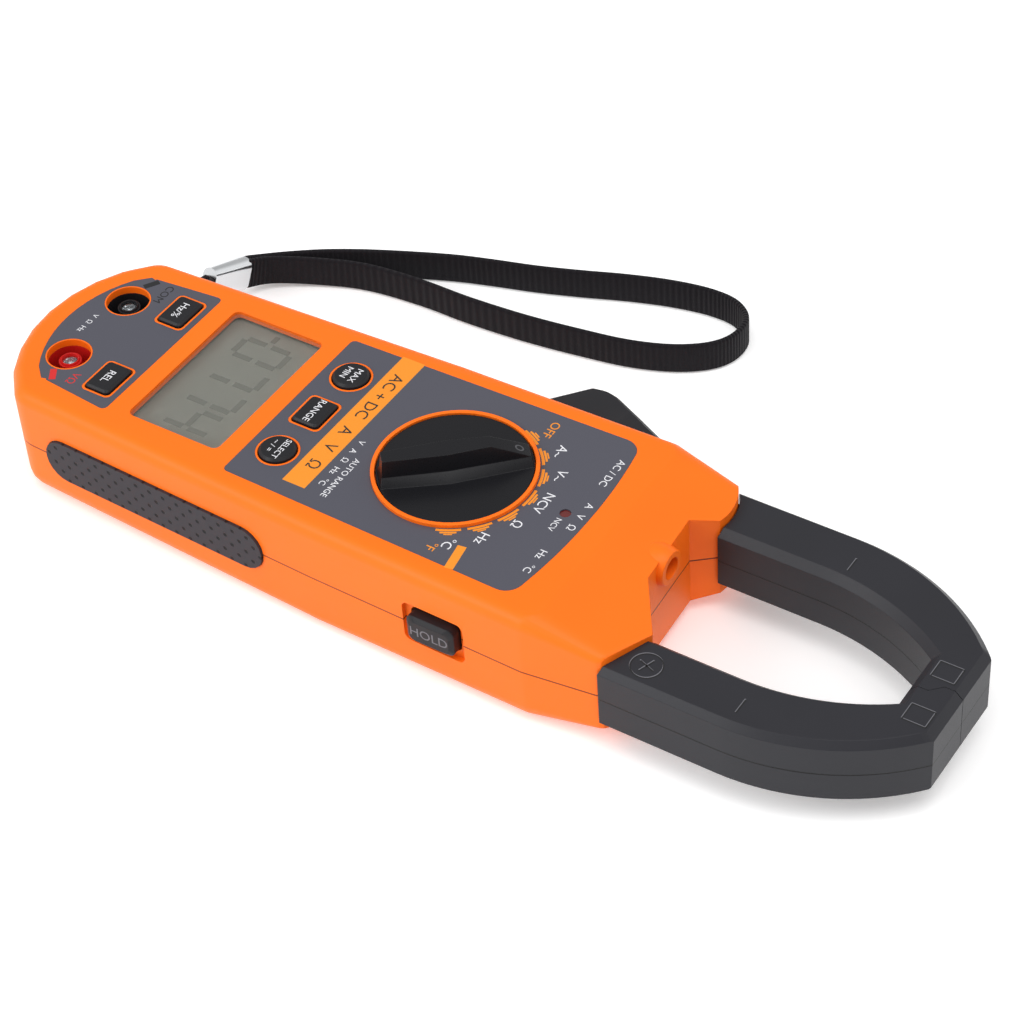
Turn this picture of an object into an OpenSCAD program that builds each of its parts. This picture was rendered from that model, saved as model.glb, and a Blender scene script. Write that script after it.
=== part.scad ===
// Hand-held clamp meter lying on its back: +Y points to the jaws, +X to the meter's right,
// +Z out of its face. The origin is on the rest plane, below the axis of the dial.

/* [Case] */
// Distance from the dial's axis to the jack end
jack_end = 138.5; // [130:0.5:166]
// Width across the shoulders
shoulder_w = 78; // [76:0.5:84]
// Width across the jack end
jack_w = 67; // [64:0.5:74]
// Thickness from the rest plane to the face
body_t = 36.5; // [36:0.5:44]
// Radius of the jack end in plan
end_r = 44; // [42:0.5:52]
// Rounding between face and sides
front_r = 4; // [3:0.5:5]
// Rounding between back and sides
rear_r = 4.5; // [4:0.5:6]
// Wall of both case halves
wall = 2.2; // [1.8:0.1:2.6]

/* [Jaws] */
// Distance from the dial's axis to the tip face
jaw_reach = 147.5; // [142:0.5:165]
// Width across both jaws
jaw_w = 74.4; // [72:0.2:80]
// Width of the window that the jaws close around
window_w = 40.6; // [36:0.2:44]
// Width of the flat at the far end of the window
window_end_w = 17; // [12:0.5:22]
// Depth of the tip, from the window to the tip face
tip_depth = 12.9; // [11:0.1:16]
// Thickness of the jaws
jaw_t = 21; // [19.5:0.5:22]
// Wall of the jaw mouldings
jaw_wall = 2.4; // [1.8:0.1:2.6]
// Chamfer along the jaws' outer edges
jaw_chamfer = 1.8; // [1:0.1:2.5]
// Chamfer along the window's edges
window_chamfer = 2.2; // [1:0.1:3]

/* [Jaw lever] */
// Travel of the moving jaw, in degrees
jaw_travel = 22; // [15:1:24]
// Distance of the hinge from the centre line
pivot_x = 26; // [25:0.5:27]
// Distance of the hinge from the dial's axis
pivot_y = 51; // [50:0.5:52]
// Radius of the hinge pin
pin_r = 2.5; // [2:0.1:3]
// Radius of the moving jaw's root about the hinge
root_r = 17.2; // [17:0.1:17.6]
// How far the trigger's crest stands from the centre line
trigger_reach = 58.5; // [54:0.5:62]
// Thickness of the lever
lever_t = 15; // [12:0.5:15]

/* [Dial] */
// Diameter of the knob's disc
knob_d = 41.8; // [36:0.2:42]
// Height of the knob's grip over the face
knob_h = 8; // [6:0.5:10]
// Width of the raised ring around the knob
dial_ring_w = 1.1; // [0.8:0.1:2]

/* [Display] */
// Width of the display window
lcd_w = 49.8; // [44:0.2:54]
// Height of the display window
lcd_h = 30.2; // [26:0.2:32]
// Distance of the window's centre from the dial's axis
lcd_y = 74.9; // [73:0.1:78]

/* [Keys] */
// Diameter of the round keys
round_key_d = 10.2; // [8:0.1:11]
// Width of the range key
range_key_w = 10.6; // [8:0.1:12]
// Height of the range key
range_key_h = 8.4; // [6:0.1:9]
// Width of the two keys by the jacks
jack_key_w = 11.4; // [8:0.1:13]
// Height of the two keys by the jacks
jack_key_h = 8; // [6:0.1:9]
// Travel of the keys in the face
key_travel = 0.8; // [0.5:0.1:0.9]
// Length of the hold key in the right side
hold_l = 14.5; // [12:0.5:17]
// Height of the hold key
hold_h = 9; // [7:0.5:10]

/* [Jacks] */
// Distance of each jack from the centre line
jack_x = 13.2; // [12:0.1:15]
// Distance of the jacks from the jack end
jack_inset = 18.9; // [18:0.1:24]
// Radius of the contact's bore, for a 4 mm plug
bore_r = 2; // [2:0.01:2.1]
// Radius of the recess for the plug's shroud
shroud_r = 6.15; // [5.8:0.05:6.4]
// Depth of the shroud recess under the face
shroud_depth = 20; // [16:0.5:22]

/* [Grips] */
// Length of the rubber grip in each side
grip_l = 76; // [60:1:80]
// Height of the rubber grip
grip_h = 14; // [10:0.5:16]
// How far a grip stands out of the side
grip_proud = 0.8; // [0.4:0.1:1.2]

/* [Battery] */
// Length of the nine volt battery
battery_l = 48.5; // [46:0.5:49]
// Width of the battery
battery_w = 26.5; // [25:0.5:27]
// Thickness of the battery
battery_t = 17.5; // [16:0.5:18]

/* [Strap] */
// Width of the wrist strap's webbing
strap_w = 10; // [8:0.5:12]
// Thickness of the webbing
strap_t = 1.8; // [1.4:0.1:2.4]
// Diameter of the thin loop through the case
loop_d = 1.8; // [1.4:0.1:2.2]

/* [Hidden] */
$fn = 48;
eps = 0.01;
far = 200;

// Clearances
seat = 0.1;        // between a piece and the pocket that locates it
key_gap = 0.35;    // around each key
pin_gap = 0.05;    // radial, between the hinge pin and the lever
swing_gap = 0.5;   // between the swinging lever and the case

// Heights
mid_z = body_t / 2;
face_in = body_t - wall;
jaw_z0 = mid_z - jaw_t / 2;
jaw_z1 = mid_z + jaw_t / 2;
lever_z0 = mid_z - lever_t / 2;
lever_z1 = mid_z + lever_t / 2;
board_z = lever_z1 + swing_gap + 1;
board_top = board_z + 1.6;
overlay_t = 0.5;
well_z = face_in + 0.3;
well_t = 2.2;

// Case in plan
corner_r = 8;
end_y = -jack_end + end_r;
corner_y = -jack_end + 19;
waist_y = -22;
waist_x = (jack_w + shoulder_w) / 4 + 1.35;
shoulder_y = 44;
shoulder_r = 7;
collar_y = 64;
collar_r = 4;
nose_x = 20;
nose_y = 70.5;
slope_top = body_t - 6.4;
collar_top = body_t - 5;

// Ends of the case around the jaw roots, and the crotch between them
root_out = [shoulder_w / 2 - 3, 66.3];
root_in = [21, 72.4];
crotch = [[21, 72.4], [6.5, 62.5], [-16.5, 61], [-21.7, 67.3]];
boss_x = -3;
boss_z = body_t - 8;

// Jaws in plan
outer_r = 64.2;
outer_c = [jaw_w / 2 - outer_r, 99.4];
window_end = jaw_reach - tip_depth;
inner_y = 97;
inner_r = arc_through((window_w - window_end_w) / 2, window_end - inner_y);
inner_c = [window_w / 2 - inner_r, inner_y];
seam_gap = 0.1;
pivot = [-pivot_x, pivot_y];

// Radius of an arc that leaves its tangent by s over a run of h
function arc_through(s, h) = (s * s + h * h) / (2 * s);

// Panels, keys and jacks
main_top = 41.2;
main_bottom = -53.9;
main_half = 31.3;
lower_top = -lcd_y - lcd_h / 2 - 6.3;
lower_half = 27;
key_y = -45.3;
key_x = 17;
low_key_x = 16.2;
low_key_y = lower_top - 6.9;
key_rim = 0.6;
jack_y = -jack_end + jack_inset;
sleeve_wall = 1.1;
led_y = 34;
led_r = 1.5;
ring_r = knob_d / 2 + key_gap + dial_ring_w;

// Grips and the hold key
grip_y = -jack_end + 24.5 + grip_l / 2;
grip_in = 1.2;
hold_y = 17.2;
hold_pocket = 1.6;
hold_out = 2.2;
hold_travel = 1;

// Battery compartment and its door
battery_y = -78.8;
battery_z = 4.4;
door_w = battery_w + 10;
door_y0 = battery_y - battery_l / 2 - 10;
door_y1 = battery_y + battery_l / 2 + 5;
door_t = 2;

// Torsion spring under the lever
wire_r = 0.6;
coil_r = 5.4;
spring_z = lever_z0 - swing_gap - 4.5;

// Fasteners
screw_r = 1.4;
boss_r = 3.4;
head_r = 2.6;
SCREWS = [[-24, -114.5], [24, -114.5], [-31, -22], [31, -22], [31, 45]];

// Eyelet for the thin loop, round the jack end's left corner
eyelet = [-half_w(corner_y) + 0.3, corner_y + 0.5];
eyelet_r = 5;
eyelet_bore = 2.2;

// Wrist strap, on edge on the rest plane: the webbing's route from the ferrule and back to it
STRAP = [[-66, -123.6], [-71, -121.8], [-78, -115.6], [-84.6, -107], [-90, -97.4], [-95.4, -86], [-101.7, -71],
    [-105.6, -59], [-109.4, -46], [-114, -33], [-119, -20], [-123, -7], [-125, 5], [-124, 14], [-119, 20],
    [-111, 20.6], [-104, 16.6], [-98, 8], [-93.6, -4], [-91, -18], [-88.6, -36], [-87.4, -55], [-87.4, -73],
    [-85.6, -91], [-80.6, -104.6], [-73, -117], [-66, -121.4]];
ferrule_from = [-51, -122.6, 16.4];
ferrule_to = [-65.4, -122.4, 8.6];
// Wall between the ferrule's two bores
bore_wall = 0.4;
// A point on the line of one of the bores, that far into the ferrule
function in_bore(side, depth) = ferrule_from + side * [0, loop_d / 2 + seat + bore_wall / 2, 0]
    + depth * unit(ferrule_to - ferrule_from);
// How far the loop's ends go into the ferrule
loop_in = 5;
// The thin loop's route: out of the ferrule, through the eyelet and back
LOOP = [in_bore(-1, loop_in), in_bore(-1, 0), [-45, -123.8, 18], [-39.6, -125, 18.4],
    [-34.4, -124.4, 18.3], [-30.6, -122.6, 18.25], [-28.4, -119.4, 18.25], [-29.8, -115.6, 18.25],
    [-33.3, -115.15, 18.25], [-37.6, -115.9, 18.4], [-42.4, -118.4, 18.2], in_bore(1, 0),
    in_bore(1, loop_in)];

ORANGE = "#f37a20";
GREY = "#565862";
BLACK = "#2b2b2e";
BRASS = "#c9a24a";
STEEL = "#b8bcc0";

// Shared outlines

function unit(v) = v / norm(v);

// Points of the arc that rounds the corner q between p and s
function corner_arc(p, q, s, r, n) =
    let (a = unit(p - q), b = unit(s - q), half = acos(a * b) / 2, c = q + unit(a + b) * (r / sin(half)),
        u = q + a * (r / tan(half)) - c, v = q + b * (r / tan(half)) - c,
        sweep = atan2(u[0] * v[1] - u[1] * v[0], u * v), start = atan2(u[1], u[0]))
    [for (i = [0 : n]) c + r * [cos(start + sweep * i / n), sin(start + sweep * i / n)]];

// A closed outline with each corner rounded by its own radius
function rounded(pts, rs, n = 5) =
    let (m = len(pts))
    [for (i = [0 : m - 1]) each corner_arc(pts[(i + m - 1) % m], pts[i], pts[(i + 1) % m], rs[i], n)];

function box_outline(w, h, r) =
    rounded([[-w / 2, -h / 2], [w / 2, -h / 2], [w / 2, h / 2], [-w / 2, h / 2]], [r, r, r, r]);

// Half width of the case at a distance y from the dial's axis
function half_w(y) =
    y < waist_y ? waist_x + (y - waist_y) * (waist_x - jack_w / 2) / (waist_y - corner_y)
    : waist_x + (y - waist_y) * (shoulder_w / 2 - waist_x) / (shoulder_y - waist_y);

module slab(z0, z1) {
    translate([0, 0, z0]) linear_extrude(z1 - z0) children();
}

module tube(r, inner, z0, z1) {
    slab(z0, z1) difference() {
        circle(r);
        circle(inner);
    }
}

module both_sides() {
    children();
    mirror([1, 0, 0]) children();
}

// Case

// A disc whose far face at z1 is rounded into its side
module puck(r, edge, z0, z1) {
    s = sign(z1 - z0);
    rotate_extrude($fn = 32) polygon(concat([[0, z0], [r, z0]],
        [for (a = [0 : 18 : 90]) [r - edge + edge * cos(a), z1 - s * edge + s * edge * sin(a)]], [[0, z1]]));
}

// The long arc of the jack end, between the two corners
module end_puck(edge, z0, z1) {
    x = half_w(corner_y) - corner_r;
    intersection() {
        translate([0, end_y, 0]) rotate(90) puck(end_r, edge, z0, z1);
        translate([-x, -jack_end - 1, min(z0, z1) - 1]) cube([2 * x, 25, abs(z1 - z0) + 2]);
    }
}

module front_blank() {
    hull() {
        end_puck(front_r, mid_z, body_t);
        both_sides() {
            translate([half_w(corner_y) - corner_r, corner_y, 0]) puck(corner_r, front_r, mid_z, body_t);
            translate([waist_x - 7, waist_y, 0]) puck(7, front_r, mid_z, body_t);
            translate([shoulder_w / 2 - shoulder_r, shoulder_y, 0]) puck(shoulder_r, front_r, mid_z, body_t);
            translate([shoulder_w / 2 - 6.5, collar_y, 0]) puck(collar_r, 2, mid_z, collar_top);
            translate([nose_x, nose_y, 0]) puck(3, 1.5, mid_z, slope_top);
        }
    }
}

module rear_blank() {
    hull() {
        end_puck(rear_r, mid_z, 0);
        both_sides() {
            translate([half_w(corner_y) - corner_r, corner_y, 0]) puck(corner_r, corner_r - 1, mid_z, 0);
            translate([waist_x - 7, waist_y, 0]) puck(7, rear_r, mid_z, 0);
            translate([shoulder_w / 2 - shoulder_r, shoulder_y, 0]) puck(shoulder_r, 6, mid_z, 0);
            translate([shoulder_w / 2 - 6.5, collar_y, 0]) puck(collar_r, 2, mid_z, body_t - collar_top);
            translate([nose_x, nose_y, 0]) puck(3, 1.5, mid_z, body_t - slope_top);
        }
    }
}

// What is cut away in front of the case, around both jaw roots and in the crotch
module collar_cut(z0, z1) {
    slab(z0, z1) {
        polygon([root_out + (root_out - root_in), crotch[0], crotch[1], crotch[2], crotch[3],
            [crotch[3][0], far], [far, far], [far, root_out[1] - 10]]);
        difference() {
            translate([-far, pivot_y + 6]) square([far + crotch[3][0] + eps, far]);
            translate(pivot) circle(root_r - 0.4, $fn = 120);
        }
    }
}

// The slot in the left side that the lever and the root of the moving jaw swing in
module lever_space() {
    slab(lever_z0 - swing_gap, lever_z1 + swing_gap)
        polygon([[-far, -11], [-12, -11.6], [-10, -2], [-11, 34], [-15.5, 46], [-15.5, 56], [-22.6, 62],
            [-22.6, far], [-far, far]]);
}

// The inside of the case in plan, drawn in by d from the sides
function space_plan(d, y_end) =
    let (r = end_r - d, x = half_w(corner_y) - d, a = asin((x - 6) / r))
    concat([for (i = [-5 : 5]) [r * sin(a * i / 5), end_y - r * cos(a * i / 5)]],
        [[x, corner_y + 2], [waist_x - d, waist_y], [half_w(y_end) - d, y_end], [-half_w(y_end) + d, y_end],
            [-waist_x + d, waist_y], [-x, corner_y + 2]]);

// What stays solid inside both halves: screw posts, the eyelet's corner and the hold key's frame
module inner_posts() {
    for (p = SCREWS) translate(p) circle(boss_r);
    translate(eyelet) circle(eyelet_r + 4);
    translate([half_w(hold_y) - hold_pocket - 2, hold_y - hold_l / 2 - 4]) square([far, hold_l + 8]);
}

// Side pockets for the grips, grown by d
module grip_shape(side, depth, out, d) {
    translate([side * half_w(grip_y), grip_y, mid_z]) rotate([0, 0, side * grip_tilt()])
        rotate([90, 0, side * 90]) slab(-depth, out)
            polygon(box_outline(grip_l + 2 * d, grip_h + 2 * d, 6.5));
}

function grip_tilt() = -atan((half_w(grip_y + 1) - half_w(grip_y - 1)) / 2);

// The hold key's outline along the side, grown by d, from x0 to x1
module hold_slab(d, x0, x1) {
    translate([x0, hold_y, mid_z]) rotate([90, 0, 90])
        linear_extrude(x1 - x0) polygon(box_outline(hold_l + 2 * d, hold_h + 2 * d, 2));
}

module hold_space() {
    hold_slab(2.2, half_w(hold_y) - hold_pocket, far);
    hold_slab(key_gap, half_w(hold_y) - 12, far);
}

// The ring-shaped pocket under the lever that the torsion spring sits in
module tube_pocket() {
    translate(pivot) tube(9.4, 4.4, spring_z, lever_z0);
}

module eyelet_space() {
    translate([eyelet[0], eyelet[1], mid_z]) rotate_extrude() translate([eyelet_r, 0]) circle(eyelet_bore);
}

// The pocket for the fixed jaw's tongue, between the collar's two lips
module tongue(d) {
    slab(mid_z - 6 - d, mid_z + 6 + d)
        polygon([[24 - d, 58 - d], [33 + d, 58 - d], [33 + d, 74], [24 - d, 74]]);
}

// Every key of the face: its outline grown by d
module face_keys(d) {
    for (s = [-1, 1]) translate([s * key_x, key_y]) circle(round_key_d / 2 + d);
    translate([0, key_y]) polygon(box_outline(range_key_w + 2 * d, range_key_h + 2 * d, 1.2 + d / 2));
    for (s = [-1, 1]) translate([s * low_key_x, low_key_y])
        polygon(box_outline(jack_key_w + 2 * d, jack_key_h + 2 * d, 1.2 + d / 2));
}

module main_outline(d) {
    x0 = main_half + 0.02 * main_bottom - d;
    x1 = main_half + 0.8 - d;
    y0 = main_bottom + d;
    y1 = main_top - d;
    polygon(rounded([[-x0, y0], [x0, y0], [x1, y1 - 3.5], [14, y1 - 0.5], [-14, y1 - 0.5], [-x1, y1 - 3.5]],
        [1.5, 1.5, 5, 160, 160, 5], 6));
}

module lower_outline(d) {
    r = 38 - d;
    cy = -jack_end + 46.2;
    a = 34;
    x = lower_half - d;
    polygon(concat([for (i = [-6 : 6]) [r * sin(a * i / 6), cy - r * cos(a * i / 6)]],
        [[24.9 - d, -jack_end + 18.5]], rounded([[24.9 - d, -jack_end + 20], [x, lower_top - d],
            [-x, lower_top - d], [-24.9 + d, -jack_end + 20]], [0.5, 1.5, 1.5, 0.5], 3),
        [[-24.9 + d, -jack_end + 18.5]]));
}

module overlay_shape(d) {
    difference() {
        union() {
            main_outline(d);
            lower_outline(d);
        }
        circle(ring_r + d, $fn = 96);
        face_keys(key_gap + key_rim + d);
        both_sides() translate([jack_x, jack_y]) circle(shroud_r + 0.4 + d);
        translate([0, led_y]) circle(led_r + d);
    }
}

module front_case() {
    color(ORANGE) difference() {
        union() {
            difference() {
                front_blank();
                collar_cut(-1, far);
            }
            slab(body_t - 1.5, body_t + 1) circle(ring_r, $fn = 96);
            translate([boss_x, 48, boss_z]) rotate([-90, 0, 0]) cylinder(h = 15.6, r = 4.7);
        }
        difference() {
            slab(-1, face_in) polygon(space_plan(wall, shoulder_y));
            slab(-1, far) inner_posts();
            slab(well_z - well_t, far) circle(ring_r + 1, $fn = 96);
            slab(lever_z1 + swing_gap, far) translate(pivot) circle(7);
        }
        lever_space();
        tongue(seat);
        slab(body_t - overlay_t, body_t + 0.2) overlay_shape(0);
        slab(0, far) face_keys(key_gap);
        slab(well_z, far) circle(knob_d / 2 + key_gap, $fn = 96);
        slab(0, far) circle(6);
        slab(0, far) both_sides() translate([jack_x, jack_y]) circle(shroud_r);
        slab(0, far) translate([0, -lcd_y]) polygon(box_outline(lcd_w, lcd_h, 2));
        slab(0, far) translate([0, led_y]) circle(led_r + seat);
        translate([boss_x, 46, boss_z]) rotate([-90, 0, 0]) cylinder(h = far, r = 3.2);
        for (s = [-1, 1]) grip_shape(s, grip_in, 20, 0);
        hold_space();
        eyelet_space();
        translate(pivot) cylinder(h = body_t - 3, r = pin_r + pin_gap);
        for (p = SCREWS) translate(p) cylinder(h = mid_z + 12, r = screw_r + pin_gap);
    }
}

module battery_walls() {
    translate([0, battery_y]) difference() {
        square([battery_w + 5.4, battery_l + 7.4], center = true);
        square([battery_w + 2, battery_l + 4], center = true);
    }
}

module rear_case() {
    color(ORANGE) difference() {
        rear_blank();
        collar_cut(-1, far);
        difference() {
            union() {
                slab(7.5, far) polygon(space_plan(wall, shoulder_y));
                slab(wall + 0.3, 8) polygon(space_plan(6, shoulder_y));
            }
            slab(-1, far) inner_posts();
            slab(-1, lever_z0 - swing_gap) translate(pivot) circle(4.4);
            slab(-1, battery_z + battery_t - 4) battery_walls();
            slab(-1, door_t + 2.2) translate([-door_w / 2 - 2, door_y0 - 2])
                square([door_w + 4, door_y1 - door_y0 + 4]);
            translate([0, door_y0 + 4, -1]) cylinder(h = 11, r = boss_r);
        }
        lever_space();
        tongue(seat);
        tube_pocket();
        slab(-1, door_t + 0.2) translate([0, (door_y0 + door_y1) / 2])
            polygon(box_outline(door_w + 0.4, door_y1 - door_y0 + 0.4, 3));
        slab(-1, far) translate([0, battery_y]) square([battery_w + 2, battery_l + 4], center = true);
        translate([0, door_y0 + 4, -1]) cylinder(h = 10.5, r = screw_r + pin_gap);
        for (s = [-1, 1]) grip_shape(s, grip_in, 20, 0);
        hold_space();
        eyelet_space();
        translate([pivot[0], pivot[1], wall]) cylinder(h = far, r = pin_r + pin_gap);
        for (p = SCREWS) translate(p) {
            translate([0, 0, -1]) cylinder(h = far, r = screw_r + pin_gap);
            translate([0, 0, -1]) cylinder(h = 4, r = head_r + 0.2);
        }
    }
}

// A cross-head screw: its head's outer face at z0, the head's height, and the shank's length
module screw(z0, head, l) {
    difference() {
        union() {
            translate([0, 0, z0]) cylinder(h = head, r = head_r);
            translate([0, 0, z0 + head / 2]) cylinder(h = l, r = screw_r);
        }
        translate([-1.9, -0.35, z0 - 1]) cube([3.8, 0.7, 1 + head / 2]);
        translate([-0.35, -1.9, z0 - 1]) cube([0.7, 3.8, 1 + head / 2]);
    }
}

module battery_door() {
    color(ORANGE) difference() {
        union() {
            slab(0, door_t) translate([0, (door_y0 + door_y1) / 2])
                polygon(box_outline(door_w, door_y1 - door_y0, 2.8));
            slab(door_t - 0.5, door_t + 1.8) translate([0, battery_y + battery_l / 2 + 0.6])
                square([battery_w - 4, 1.6], center = true);
        }
        translate([0, door_y0 + 4, -1]) cylinder(h = far, r = screw_r + 0.2);
        translate([0, door_y0 + 4, -1]) cylinder(h = 2.3, r = head_r + 0.2);
        for (i = [0 : 4]) slab(-1, 0.6) translate([0, door_y1 - 6 - 2.4 * i]) square([16, 1], center = true);
    }
}

module door_screw() {
    color(STEEL) translate([0, door_y0 + 4, 0]) screw(0.15, 1.1, 8);
}

module case_screws() {
    color(STEEL) for (p = SCREWS) translate(p) screw(1.2, 1.8, mid_z + 7);
}

module main_overlay() {
    color(GREY) intersection() {
        slab(body_t - overlay_t, body_t) overlay_shape(0.05);
        translate([-far / 2, -lcd_y, 0]) cube([far, far, far]);
    }
}

module lower_overlay() {
    color(GREY) intersection() {
        slab(body_t - overlay_t, body_t) overlay_shape(0.05);
        translate([-far / 2, -lcd_y - far, 0]) cube([far, far, far]);
    }
}

module lcd_window() {
    color("#a9aaa4") translate([0, -lcd_y]) {
        slab(face_in - 1, body_t - 0.75) polygon(box_outline(lcd_w - 0.2, lcd_h - 0.2, 1.9));
        slab(face_in - 1, face_in) polygon(box_outline(lcd_w + 5, lcd_h + 5, 3));
    }
}

module lcd_glass() {
    color("#8b8b83") translate([0, -lcd_y])
        slab(face_in - 3.2, face_in - 1) square([lcd_w + 6, lcd_h + 4], center = true);
}

module lcd_backlight() {
    color("white") translate([0, -lcd_y])
        slab(board_top, face_in - 3.2) square([lcd_w + 6, lcd_h + 4], center = true);
}

module main_board() {
    color("#2f6b45") {
        slab(board_z, board_top) difference() {
            polygon(space_plan(wall + 1, shoulder_y - 2));
            translate([0, -far + jack_y + 9]) square([far, 2 * far], center = true);
            for (p = SCREWS) translate(p) circle(boss_r + 0.5);
            translate(pivot) circle(8);
            translate([half_w(hold_y) - 4.4, hold_y - hold_l / 2 - 5]) square([far, hold_l + 10]);
        }
    }
}

module grip(side) {
    grip_shape(side, grip_in, grip_proud, -seat);
}

module left_grip() {
    color("#4a474d") grip(-1);
}

module right_grip() {
    color("#4a474d") grip(1);
}

// A shrouded 4 mm jack: sleeve, floor and the insulated post that carries the contact
module jack(side) {
    floor_z = body_t - shroud_depth;
    translate([side * jack_x, jack_y]) difference() {
        union() {
            translate([0, 0, floor_z - 1.6]) cylinder(h = face_in - floor_z + 1.6, r = shroud_r + sleeve_wall);
            translate([0, 0, floor_z - 5]) cylinder(h = 4, r = 4.4);
        }
        difference() {
            translate([0, 0, floor_z]) cylinder(h = far, r = shroud_r);
            translate([0, 0, floor_z - 1]) cylinder(h = shroud_depth, r = 3.2);
        }
        translate([0, 0, floor_z - 6]) cylinder(h = far, r = bore_r + 0.7);
    }
}

module contact(side) {
    translate([side * jack_x, jack_y])
        tube(bore_r + 0.7, bore_r, body_t - shroud_depth - 6.5, body_t - 1.6);
}

module com_jack() {
    color(BLACK) jack(-1);
}

module input_jack() {
    color("#d01f1f") jack(1);
}

module com_contact() {
    color(BRASS) contact(-1);
}

module input_contact() {
    color(BRASS) contact(1);
}

module ncv_led() {
    color("#e8e4da") translate([0, led_y, 0]) {
        translate([0, 0, board_top]) cylinder(h = body_t - board_top - 0.4, r = led_r);
        translate([0, 0, board_top]) cylinder(h = 1, r = led_r + 0.5);
    }
}

module torch_led() {
    color("#f2f2ee") translate([boss_x, 53, boss_z]) rotate([-90, 0, 0]) {
        cylinder(h = 8, r = 2.5);
        cylinder(h = 1.2, r = 3);
    }
}

// Dial

module switch_wipers() {
    color(BRASS) for (i = [0 : 2]) rotate(i * 120)
        translate([6, -1.5, board_top + 0.1]) cube([7, 3, 0.8]);
}

module switch_rotor() {
    color("#e9e6df") {
        tube(15, 4, board_top + 0.9, board_top + 2.8);
        translate([0, 0, board_top + 0.9]) cylinder(h = 4.4, r = 4.05);
    }
}

// The knob's grip from above: broad at the tail, narrow at the pointer
module knob_bar(grow, z0, z1, y0, y1) {
    slab(z0, z1) intersection() {
        circle(knob_d / 2 - 0.3, $fn = 96);
        polygon([[-grow * 0.7, y0], [grow * 0.7, y0], [grow, -2], [grow * 0.72, y1], [-grow * 0.72, y1],
            [-grow, -2]]);
    }
}

module dial_knob() {
    disc_top = body_t + 0.6;
    color(BLACK) rotate(41.75) {
        difference() {
            union() {
                slab(well_z + 0.2, disc_top) circle(knob_d / 2, $fn = 96);
                hull() {
                    knob_bar(6, disc_top - 0.5, disc_top, -20.4, 20.4);
                    knob_bar(3.4, disc_top, disc_top + 2.2, -19.6, 20);
                }
                hull() {
                    knob_bar(3.4, disc_top, disc_top + 2.2, -19.6, 20);
                    knob_bar(2.9, disc_top + 2, body_t + knob_h, -19, 9.6);
                }
                translate([0, 0, board_top + 3]) cylinder(h = disc_top - board_top - 3, r = 5.7);
            }
            translate([0, 0, board_top + 2]) cylinder(h = 3.5, r = 4.15);
        }
    }
}

// Keys: a cap, a flange that stops it under the face, and a stem over its switch

module key_stem() {
    translate([0, 0, board_top + 1.8 + key_travel + 0.1]) cylinder(h = 4, r = 1.8);
}

module round_key() {
    color(BLACK) {
        cap = body_t + 1.2;
        translate([0, 0, face_in - 1.4]) cylinder(h = cap - 0.7 - face_in + 1.4, r = round_key_d / 2);
        translate([0, 0, cap - 0.7]) cylinder(h = 0.7, r1 = round_key_d / 2, r2 = round_key_d / 2 - 0.7);
        translate([0, 0, face_in - 1.6]) cylinder(h = 1.4, r = round_key_d / 2 + 1);
        key_stem();
    }
}

module box_key(w, h) {
    color(BLACK) {
        cap = body_t + 1.1;
        slab(face_in - 1.4, cap - 0.6) polygon(box_outline(w, h, 1.2));
        hull() {
            slab(cap - 0.6, cap - 0.59) polygon(box_outline(w, h, 1.2));
            slab(cap - 0.01, cap) polygon(box_outline(w - 1.2, h - 1.2, 0.8));
        }
        slab(face_in - 1.6, face_in - 0.2) polygon(box_outline(w + 1.6, h + 1.6, 1.2));
        key_stem();
    }
}

module select_key() {
    translate([key_x, key_y]) round_key();
}

module max_min_key() {
    translate([-key_x, key_y]) round_key();
}

module range_key() {
    translate([0, key_y]) box_key(range_key_w, range_key_h);
}

module relative_key() {
    translate([low_key_x, low_key_y]) box_key(jack_key_w, jack_key_h);
}

module hertz_key() {
    translate([-low_key_x, low_key_y]) box_key(jack_key_w, jack_key_h);
}

module hold_key() {
    x = half_w(hold_y);
    color(BLACK) {
        hold_slab(0, x - hold_pocket - 2.4, x + hold_out - 1);
        hull() {
            hold_slab(0, x + hold_out - 1, x + hold_out - 0.99);
            hold_slab(-1.2, x + hold_out - 0.01, x + hold_out);
        }
        hold_slab(1.2, x - hold_pocket - 3.5, x - hold_pocket - 2.2);
        translate([x - hold_pocket - 5, hold_y, mid_z]) rotate([0, 90, 0]) cylinder(h = 3, r = 2);
    }
}

module tact_switches() {
    color("#3b3d42") for (p = [[key_x, key_y], [0, key_y], [-key_x, key_y], [low_key_x, low_key_y],
        [-low_key_x, low_key_y]]) translate([p[0], p[1], board_top]) {
        translate([-3, -3, 0]) cube([6, 6, 1.3]);
        cylinder(h = 1.8, r = 1.6);
    }
}

module hold_switch() {
    x = half_w(hold_y) - hold_pocket - 5 - hold_travel - 0.1;
    color("#3b3d42") {
        translate([x - 4, hold_y - 3, mid_z - 3]) cube([3.5, 6, board_z - mid_z + 3]);
        translate([x - 1, hold_y, mid_z]) rotate([0, 90, 0]) cylinder(h = 1, r = 1.6);
    }
}

// Jaws

// Profile of an edge at r between z0 and z1: chamfered in by c, flared out when c is negative
function edge_profile(x0, r, c, z0, z1) =
    c == 0 ? [[x0, z0], [r, z0], [r, z1], [x0, z1]]
    : [[x0, z0], [r - c, z0], [r, z0 + abs(c)], [r, z1 - abs(c)], [r - c, z1], [x0, z1]];

module edged_disc(r, c, z0, z1) {
    rotate_extrude($fn = 144) polygon(edge_profile(0, r, c, z0, z1));
}

// A bar along Y up to the side x, from y0 to y1, with the same edges
module edged_bar(x, c, z0, z1, y0, y1) {
    translate([0, y1, 0]) rotate([90, 0, 0]) linear_extrude(y1 - y0) polygon(edge_profile(-1, x, c, z0, z1));
}

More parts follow.
